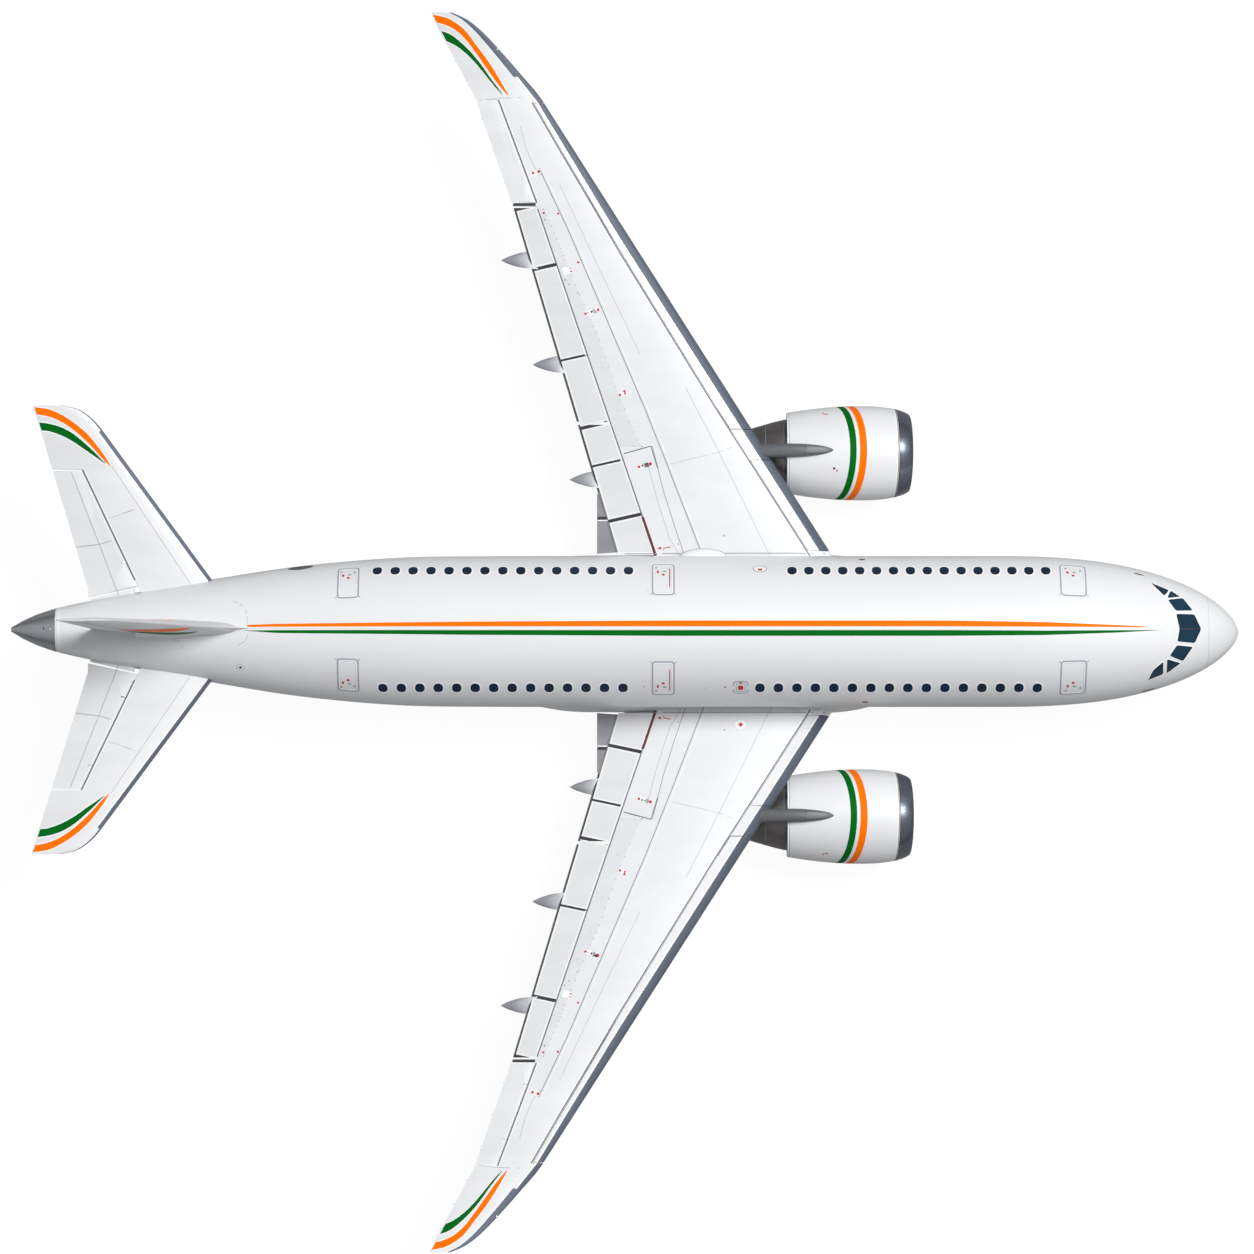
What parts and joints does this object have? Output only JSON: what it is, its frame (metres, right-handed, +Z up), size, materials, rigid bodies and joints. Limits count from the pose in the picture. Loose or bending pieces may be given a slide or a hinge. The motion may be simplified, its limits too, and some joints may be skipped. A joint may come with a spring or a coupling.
{
  "type": "half scale model airliner",
  "caption": "Twin-engine wide-body airliner at half its real size, parked on its gear, with raked wing tips, moving control surfaces, fans and wheels.",
  "frame": {"origin": "on the ground, below the middle of the whole aircraft's box, with the tyres standing on z = 0", "axes": "+X points to the nose, +Y to the left wing tip, +Z up"},
  "size_m": [23.39, 23.6, 7.2],
  "materials": {
    "hull_white": "gloss",
    "wing_grey": "satin",
    "leading_edge_metal": "polished",
    "exhaust_metal": "satin",
    "fan_metal": "satin",
    "gear_paint": "satin",
    "tyre_rubber": "matte",
    "cockpit_glass": "gloss"
  },
  "bodies": {
    "airframe": {"belly_fairing": "hull_white", "bogie_left": "gear_paint", "bogie_right": "gear_paint", "engine_core_left": "exhaust_metal", "engine_core_right": "exhaust_metal", "fin": "hull_white", "fuselage": "hull_white", "intake_lip_left": "leading_edge_metal", "intake_lip_right": "leading_edge_metal", "main_gear_leg_left": "gear_paint", "main_gear_leg_right": "gear_paint", "nacelle_left": "hull_white", "nacelle_right": "hull_white", "nose_gear_door_left": "hull_white", "nose_gear_door_right": "hull_white", "nose_gear_leg": "gear_paint", "nose_radome": "hull_white", "pylon_left": "leading_edge_metal", "pylon_right": "leading_edge_metal", "stabilizer_left": "wing_grey", "stabilizer_right": "wing_grey", "tail_cone": "leading_edge_metal", "windshield": "cockpit_glass", "wing_left": "wing_grey", "wing_right": "wing_grey"},
    "aileron_left": {"aileron_left": "wing_grey"},
    "aileron_right": {"aileron_right": "wing_grey"},
    "elevator_left": {"elevator_left": "wing_grey"},
    "elevator_right": {"elevator_right": "wing_grey"},
    "fan_left": {"fan_left": "fan_metal"},
    "fan_right": {"fan_right": "fan_metal"},
    "flap_inboard_left": {"flap_inboard_left": "wing_grey"},
    "flap_inboard_right": {"flap_inboard_right": "wing_grey"},
    "flap_outboard_left": {"flap_outboard_left": "wing_grey"},
    "flap_outboard_right": {"flap_outboard_right": "wing_grey"},
    "main_wheels_front_left": {"main_wheels_front_left": "tyre_rubber"},
    "main_wheels_front_right": {"main_wheels_front_right": "tyre_rubber"},
    "main_wheels_rear_left": {"main_wheels_rear_left": "tyre_rubber"},
    "main_wheels_rear_right": {"main_wheels_rear_right": "tyre_rubber"},
    "nose_steering": {"nose_gear_fork": "gear_paint"},
    "nose_wheels": {"nose_wheels": "tyre_rubber"},
    "rudder": {"rudder": "hull_white"},
    "slat_inboard_left": {"slat_inboard_left": "leading_edge_metal"},
    "slat_inboard_right": {"slat_inboard_right": "leading_edge_metal"},
    "slat_outboard_left": {"slat_outboard_left": "leading_edge_metal"},
    "slat_outboard_right": {"slat_outboard_right": "leading_edge_metal"},
    "spoilers_left": {"spoiler_1_left": "wing_grey", "spoiler_2_left": "wing_grey", "spoiler_3_left": "wing_grey", "spoiler_4_left": "wing_grey", "spoiler_5_left": "wing_grey", "spoiler_6_left": "wing_grey"},
    "spoilers_right": {"spoiler_1_right": "wing_grey", "spoiler_2_right": "wing_grey", "spoiler_3_right": "wing_grey", "spoiler_4_right": "wing_grey", "spoiler_5_right": "wing_grey", "spoiler_6_right": "wing_grey"}
  },
  "joints": [
    {"name": "aileron_hinge_left", "type": "hinge", "parent": "airframe", "child": "aileron_left", "pos_m": [-1.77311, 8.23, 2.53787], "axis": [-0.3492, 0.9319, 0.0979], "range_deg": [-25, 25]},
    {"name": "aileron_hinge_right", "type": "hinge", "parent": "airframe", "child": "aileron_right", "pos_m": [-1.77311, -8.23, 2.53787], "axis": [0.3492, 0.9319, -0.0979], "range_deg": [-25, 25]},
    {"name": "spoiler_hinge_left", "type": "hinge", "parent": "airframe", "child": "spoilers_left", "pos_m": [0.53488, 1.5, 1.94105], "axis": [-0.3221, 0.9423, 0.0913], "range_deg": [0, 50]},
    {"name": "spoiler_hinge_right", "type": "hinge", "parent": "airframe", "child": "spoilers_right", "pos_m": [0.53488, -1.5, 1.94105], "axis": [0.3221, 0.9423, -0.0913], "range_deg": [0, 50]},
    {"name": "flap_inboard_hinge_left", "type": "hinge", "parent": "airframe", "child": "flap_inboard_left", "pos_m": [0.52322, 1.535, 1.53484], "axis": [0.3216, -0.9409, -0.1065], "range_deg": [0, 35]},
    {"name": "flap_inboard_hinge_right", "type": "hinge", "parent": "airframe", "child": "flap_inboard_right", "pos_m": [0.52322, -1.535, 1.53484], "axis": [-0.3216, -0.9409, 0.1065], "range_deg": [0, 35]},
    {"name": "flap_outboard_hinge_left", "type": "hinge", "parent": "airframe", "child": "flap_outboard_left", "pos_m": [-0.33645, 4.05, 1.81957], "axis": [0.3216, -0.9409, -0.1065], "range_deg": [0, 35]},
    {"name": "flap_outboard_hinge_right", "type": "hinge", "parent": "airframe", "child": "flap_outboard_right", "pos_m": [-0.33645, -4.05, 1.81957], "axis": [-0.3216, -0.9409, 0.1065], "range_deg": [0, 35]},
    {"name": "slat_outboard_slide_left", "type": "slide", "parent": "airframe", "child": "slat_outboard_left", "axis": [0.9962, 0, -0.0872], "range_m": [0, 0.14]},
    {"name": "slat_outboard_slide_right", "type": "slide", "parent": "airframe", "child": "slat_outboard_right", "axis": [0.9962, 0, -0.0872], "range_m": [0, 0.14]},
    {"name": "slat_inboard_slide_left", "type": "slide", "parent": "airframe", "child": "slat_inboard_left", "axis": [0.9962, 0, -0.0872], "range_m": [0, 0.14]},
    {"name": "slat_inboard_slide_right", "type": "slide", "parent": "airframe", "child": "slat_inboard_right", "axis": [0.9962, 0, -0.0872], "range_m": [0, 0.14]},
    {"name": "elevator_hinge_left", "type": "hinge", "parent": "airframe", "child": "elevator_left", "pos_m": [-9.33786, 0.83, 3.06841], "axis": [-0.4263, 0.8996, 0.0946], "range_deg": [-20, 30]},
    {"name": "elevator_hinge_right", "type": "hinge", "parent": "airframe", "child": "elevator_right", "pos_m": [-9.33786, -0.83, 3.06841], "axis": [0.4263, 0.8996, -0.0946], "range_deg": [-20, 30]},
    {"name": "rudder_hinge", "type": "hinge", "parent": "airframe", "child": "rudder", "pos_m": [-9.33057, 0, 3.78], "axis": [-0.249, 0, 0.9685], "range_deg": [-30, 30]},
    {"name": "fan_spin_left", "type": "hinge", "parent": "airframe", "child": "fan_left", "pos_m": [4.64, 3.5, 1.3], "axis": [1, 0, 0], "continuous": true},
    {"name": "fan_spin_right", "type": "hinge", "parent": "airframe", "child": "fan_right", "pos_m": [4.64, -3.5, 1.3], "axis": [1, 0, 0], "continuous": true},
    {"name": "nose_steering_pivot", "type": "hinge", "parent": "airframe", "child": "nose_steering", "pos_m": [8.75, 0, 0.815], "axis": [0, 0, 1], "range_deg": [-70, 70]},
    {"name": "nose_wheels_spin", "type": "hinge", "parent": "nose_steering", "child": "nose_wheels", "pos_m": [8.75, 0, 0.25], "axis": [0, 1, 0], "continuous": true},
    {"name": "main_wheels_front_spin_left", "type": "hinge", "parent": "airframe", "child": "main_wheels_front_left", "pos_m": [0.905, 2.45, 0.29], "axis": [0, 1, 0], "continuous": true},
    {"name": "main_wheels_front_spin_right", "type": "hinge", "parent": "airframe", "child": "main_wheels_front_right", "pos_m": [0.905, -2.45, 0.29], "axis": [0, 1, 0], "continuous": true},
    {"name": "main_wheels_rear_spin_left", "type": "hinge", "parent": "airframe", "child": "main_wheels_rear_left", "pos_m": [0.195, 2.45, 0.29], "axis": [0, 1, 0], "continuous": true},
    {"name": "main_wheels_rear_spin_right", "type": "hinge", "parent": "airframe", "child": "main_wheels_rear_right", "pos_m": [0.195, -2.45, 0.29], "axis": [0, 1, 0], "continuous": true}
  ],
  "couplings": [
    {"joint": "aileron_hinge_right", "follows": "aileron_hinge_left", "ratio": -1},
    {"joint": "elevator_hinge_right", "follows": "elevator_hinge_left", "ratio": 1},
    {"joint": "flap_outboard_hinge_left", "follows": "flap_inboard_hinge_left", "ratio": 1},
    {"joint": "flap_inboard_hinge_right", "follows": "flap_inboard_hinge_left", "ratio": 1},
    {"joint": "flap_outboard_hinge_right", "follows": "flap_inboard_hinge_left", "ratio": 1},
    {"joint": "slat_inboard_slide_left", "follows": "slat_outboard_slide_left", "ratio": 1},
    {"joint": "slat_outboard_slide_right", "follows": "slat_outboard_slide_left", "ratio": 1},
    {"joint": "slat_inboard_slide_right", "follows": "slat_outboard_slide_left", "ratio": 1}
  ]
}
